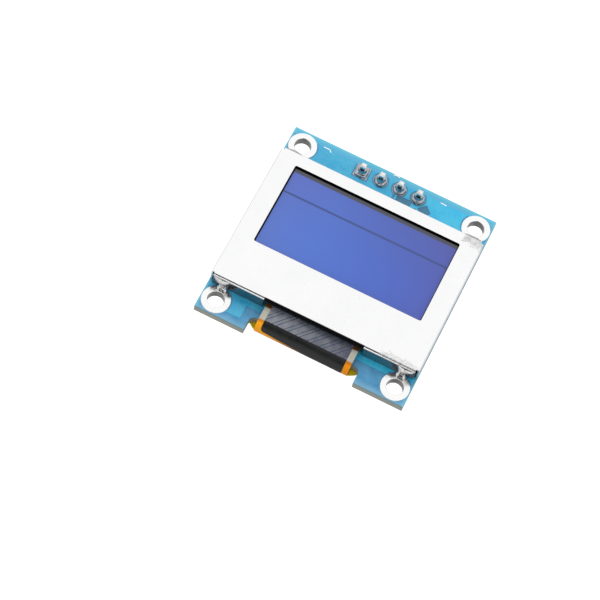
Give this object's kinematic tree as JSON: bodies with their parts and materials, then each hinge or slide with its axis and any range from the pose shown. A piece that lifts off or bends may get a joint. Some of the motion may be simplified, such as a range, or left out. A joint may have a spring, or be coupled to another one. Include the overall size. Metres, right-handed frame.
{
  "type": "small oled module",
  "caption": "Small blue display board with a glass panel under a folded tin shield, a flex tail round its edge and a pin header on the back.",
  "frame": {"origin": "centre of the four mounting holes, on the board's front face", "axes": "+Z the way the display faces, +Y towards the header, +X from pin 1 to pin 4"},
  "size_m": [0.0274, 0.0277, 0.012],
  "materials": {
    "blue_board": "glass-fibre board with glossy blue solder mask",
    "blue_copper": "copper under glossy blue solder mask",
    "tinned_plating": "bright hot-air tinned copper",
    "black_plastic": "moulded black plastic",
    "plated_pins": "tin-plated brass",
    "solder": "bright solder",
    "foam": "black foam tape",
    "panel_glass": "clear thin glass",
    "emitter": "unlit emitting layer",
    "polarizer_film": "smooth polariser film over the lit area, blue to violet",
    "silicon": "bare silicon",
    "tin_sheet": "bright tinned sheet steel",
    "flex_film": "amber polyimide film",
    "flex_ink": "black cover ink",
    "flex_traces": "plated traces under a clear cover film",
    "chip_ceramic": "fired ceramic with tinned ends",
    "chip_resistor": "black glaze over ceramic with tinned ends",
    "black_epoxy": "moulded black epoxy",
    "lead_metal": "tinned lead frame"
  },
  "bodies": {
    "root": {"circuit_board": "blue_board", "front_copper": "blue_copper", "back_copper": "blue_copper", "mounting_ring_1": "tinned_plating", "mounting_ring_2": "tinned_plating", "mounting_ring_3": "tinned_plating", "mounting_ring_4": "tinned_plating", "header_housing": "black_plastic", "header_pin_1": "plated_pins", "header_pin_2": "plated_pins", "header_pin_3": "plated_pins", "header_pin_4": "plated_pins", "header_solder_1": "solder", "header_solder_2": "solder", "header_solder_3": "solder", "header_solder_4": "solder", "shield_solder_1": "solder", "shield_solder_2": "solder", "shield_solder_3": "solder", "shield_solder_4": "solder", "flex_solder": "solder", "chip_solder": "solder", "foam_tape": "foam", "cap_glass": "panel_glass", "front_glass": "panel_glass", "emitting_layer": "emitter", "polarizer": "polarizer_film", "driver_chip": "silicon", "shield_frame": "tin_sheet", "flex_tail": "flex_film", "flex_ink": "flex_ink", "flex_traces": "flex_traces", "capacitor_1": "chip_ceramic", "capacitor_2": "chip_ceramic", "capacitor_3": "chip_ceramic", "capacitor_4": "chip_ceramic", "capacitor_5": "chip_ceramic", "capacitor_6": "chip_ceramic", "capacitor_7": "chip_ceramic", "resistor_1": "chip_resistor", "resistor_2": "chip_resistor", "resistor_3": "chip_resistor", "resistor_4": "chip_resistor", "resistor_5": "chip_resistor", "resistor_6": "chip_resistor", "resistor_7": "chip_resistor", "regulator_body": "black_epoxy", "reset_diode": "black_epoxy", "regulator_leads": "lead_metal"}
  },
  "joints": []
}
